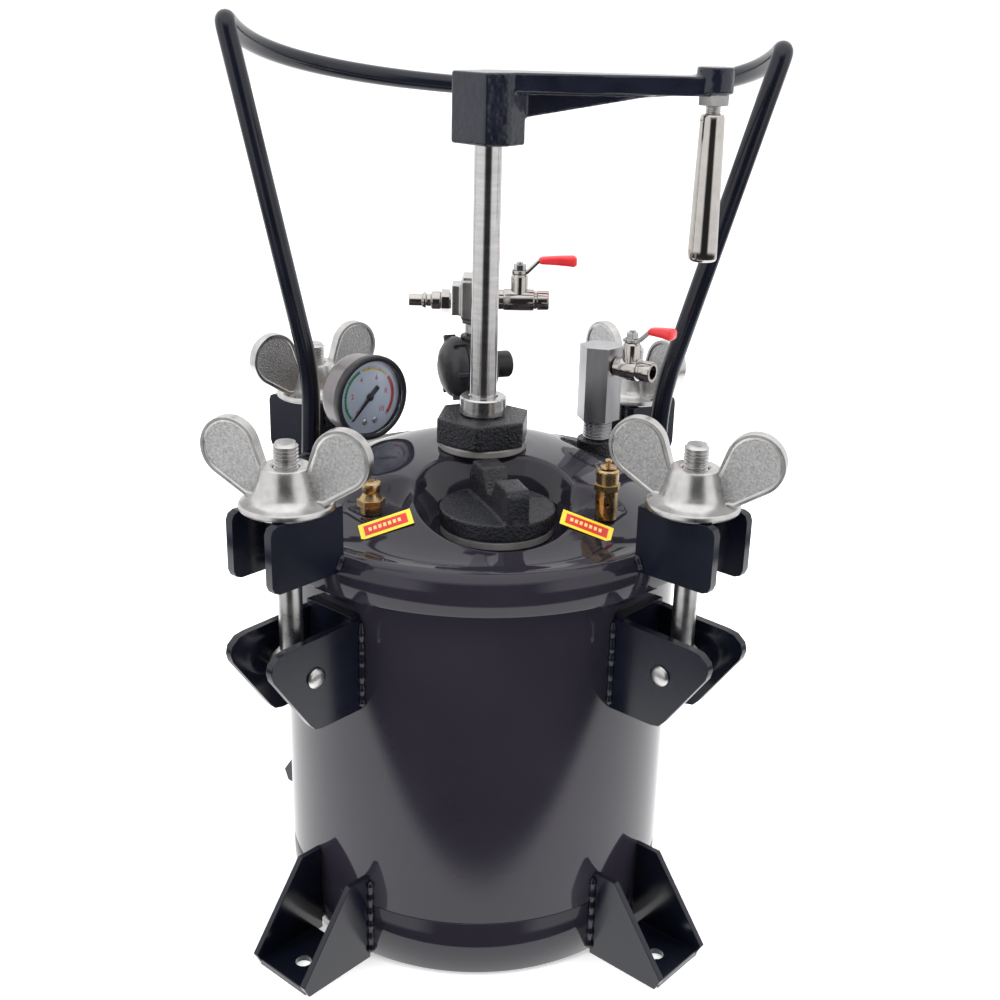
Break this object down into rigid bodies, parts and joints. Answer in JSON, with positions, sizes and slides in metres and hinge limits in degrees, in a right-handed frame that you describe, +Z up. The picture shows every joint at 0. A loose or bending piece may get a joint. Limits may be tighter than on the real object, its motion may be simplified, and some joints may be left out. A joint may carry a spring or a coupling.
{
  "type": "resin pressure pot",
  "caption": "Clamp-lid pressure pot for resin casting, with a hand-cranked stirrer, regulator, gauge, valves, filler cap and bail handle.",
  "frame": {"origin": "middle of the bounding box on the floor, at the bottom of the feet; the tank axis stands 12.5 mm left of it and 31 mm in front of it", "axes": "+Z up, along the tank axis and the stirrer shaft; the filler cap is at the front (-Y) and the crank arm points to the right (+X)"},
  "size_m": [0.3534, 0.3585, 0.5572],
  "materials": {
    "body_paint": "gloss dark slate",
    "bracket_paint": "gloss navy-black",
    "cast_black": "rough black painted casting",
    "zinc": "bright zinc plate",
    "cast_zinc": "rough zinc-plated casting",
    "steel": "turned steel",
    "chrome": "bright nickel",
    "brass": "turned brass",
    "seal_rubber": "pale grey seal",
    "black_plastic": "satin black",
    "dial_face": "pale blue-grey",
    "red_vinyl": "soft red sleeve"
  },
  "bodies": {
    "pot": {"air_cock_body": "brass", "air_tee": "cast_zinc", "air_valve_body": "chrome", "cap_seal": "seal_rubber", "clevis_front_left": "bracket_paint", "clevis_front_right": "bracket_paint", "clevis_pin_front_left": "zinc", "clevis_pin_front_right": "zinc", "clevis_pin_rear_left": "zinc", "clevis_pin_rear_right": "zinc", "clevis_rear_left": "bracket_paint", "clevis_rear_right": "bracket_paint", "foot_front_left": "bracket_paint", "foot_front_right": "bracket_paint", "foot_rear_left": "bracket_paint", "foot_rear_right": "bracket_paint", "gauge_case": "black_plastic", "gauge_dial": "dial_face", "gauge_elbow": "brass", "gland_nut": "cast_black", "handle_bail": "bracket_paint", "lid_bracket_front_left": "bracket_paint", "lid_bracket_front_right": "bracket_paint", "lid_bracket_rear_left": "bracket_paint", "lid_bracket_rear_right": "bracket_paint", "lid_gasket": "seal_rubber", "lid_shell": "body_paint", "outlet_body": "steel", "outlet_boss": "cast_black", "outlet_valve_body": "chrome", "quick_plug": "steel", "regulator_body": "black_plastic", "safety_valve_body": "brass", "shaft_washer": "seal_rubber", "siphon_tube": "steel", "skirt_ring": "body_paint", "tank_shell": "body_paint"},
    "agitator": {"agitator_shaft": "steel", "shaft_collar": "steel", "agitator_paddle": "steel", "crank_arm": "bracket_paint", "crank_nut": "zinc"},
    "crank_grip": {"crank_grip": "chrome"},
    "fill_cap": {"fill_cap": "cast_black"},
    "air_valve_lever": {"air_valve_lever": "zinc", "air_lever_sleeve": "red_vinyl"},
    "outlet_valve_lever": {"outlet_valve_lever": "zinc", "outlet_lever_sleeve": "red_vinyl"},
    "regulator_knob": {"regulator_knob": "black_plastic"},
    "gauge_needle": {"gauge_needle": "black_plastic"},
    "air_cock_knob": {"air_cock_knob": "brass"},
    "safety_valve_pull": {"safety_valve_pull": "brass"},
    "eye_bolt_front_right": {"eye_bolt_front_right": "zinc"},
    "wing_nut_front_right": {"wing_nut_front_right": "cast_zinc"},
    "eye_bolt_rear_right": {"eye_bolt_rear_right": "zinc"},
    "wing_nut_rear_right": {"wing_nut_rear_right": "cast_zinc"},
    "eye_bolt_rear_left": {"eye_bolt_rear_left": "zinc"},
    "wing_nut_rear_left": {"wing_nut_rear_left": "cast_zinc"},
    "eye_bolt_front_left": {"eye_bolt_front_left": "zinc"},
    "wing_nut_front_left": {"wing_nut_front_left": "cast_zinc"}
  },
  "joints": [
    {"name": "crank_spin", "type": "hinge", "parent": "pot", "child": "agitator", "pos_m": [-0.0125, -0.031, 0.4], "axis": [0, 0, 1], "continuous": true},
    {"name": "grip_spin", "type": "hinge", "parent": "agitator", "child": "crank_grip", "pos_m": [0.11581, -0.03795, 0.465], "axis": [0, 0, 1], "continuous": true},
    {"name": "clamp_swing_front_right", "type": "hinge", "parent": "pot", "child": "eye_bolt_front_right", "pos_m": [0.09866, -0.14216, 0.2085], "axis": [0.7071, 0.7071, 0], "range_deg": [0, 55]},
    {"name": "nut_lift_front_right", "type": "slide", "parent": "eye_bolt_front_right", "child": "wing_nut_front_right", "axis": [0, 0, 1], "range_m": [0, 0.0275]},
    {"name": "clamp_swing_rear_right", "type": "hinge", "parent": "pot", "child": "eye_bolt_rear_right", "pos_m": [0.09866, 0.08016, 0.2085], "axis": [-0.7071, 0.7071, 0], "range_deg": [0, 55]},
    {"name": "nut_lift_rear_right", "type": "slide", "parent": "eye_bolt_rear_right", "child": "wing_nut_rear_right", "axis": [0, 0, 1], "range_m": [0, 0.0275]},
    {"name": "clamp_swing_rear_left", "type": "hinge", "parent": "pot", "child": "eye_bolt_rear_left", "pos_m": [-0.12366, 0.08016, 0.2085], "axis": [-0.7071, -0.7071, 0], "range_deg": [0, 55]},
    {"name": "nut_lift_rear_left", "type": "slide", "parent": "eye_bolt_rear_left", "child": "wing_nut_rear_left", "axis": [0, 0, 1], "range_m": [0, 0.0275]},
    {"name": "clamp_swing_front_left", "type": "hinge", "parent": "pot", "child": "eye_bolt_front_left", "pos_m": [-0.12366, -0.14216, 0.2085], "axis": [0.7071, -0.7071, 0], "range_deg": [0, 55]},
    {"name": "nut_lift_front_left", "type": "slide", "parent": "eye_bolt_front_left", "child": "wing_nut_front_left", "axis": [0, 0, 1], "range_m": [0, 0.0275]},
    {"name": "fill_cap_turn", "type": "hinge", "parent": "pot", "child": "fill_cap", "pos_m": [-0.00675, -0.10041, 0.285], "axis": [0, 0, 1], "continuous": true},
    {"name": "air_valve_turn", "type": "hinge", "parent": "pot", "child": "air_valve_lever", "pos_m": [0.01325, 0.03771, 0.4], "axis": [0, 0, 1], "range_deg": [0, 90]},
    {"name": "outlet_valve_turn", "type": "hinge", "parent": "pot", "child": "outlet_valve_lever", "pos_m": [0.08187, -0.00869, 0.366], "axis": [0, 0, 1], "range_deg": [0, 90]},
    {"name": "regulator_turn", "type": "hinge", "parent": "pot", "child": "regulator_knob", "pos_m": [-0.0157, 0.03928, 0.3375], "axis": [-0.9568, -0.2907, 0], "continuous": true},
    {"name": "gauge_needle_turn", "type": "hinge", "parent": "pot", "child": "gauge_needle", "pos_m": [-0.08123, 0.01278, 0.322], "axis": [-0.628, 0.7782, 0], "range_deg": [0, 270]},
    {"name": "air_cock_turn", "type": "hinge", "parent": "pot", "child": "air_cock_knob", "pos_m": [-0.07998, -0.09344, 0.299], "axis": [0, 0, 1], "continuous": true},
    {"name": "safety_pull_slide", "type": "slide", "parent": "pot", "child": "safety_valve_pull", "axis": [0, 0, 1], "range_m": [0, 0.003], "stiffness_N_per_m": 900}
  ],
  "couplings": [
    {"joint": "nut_lift_front_right", "follows": "clamp_swing_front_right", "m_per_rad": 0.0285},
    {"joint": "nut_lift_rear_right", "follows": "clamp_swing_rear_right", "m_per_rad": 0.0285},
    {"joint": "nut_lift_rear_left", "follows": "clamp_swing_rear_left", "m_per_rad": 0.0285},
    {"joint": "nut_lift_front_left", "follows": "clamp_swing_front_left", "m_per_rad": 0.0285}
  ]
}
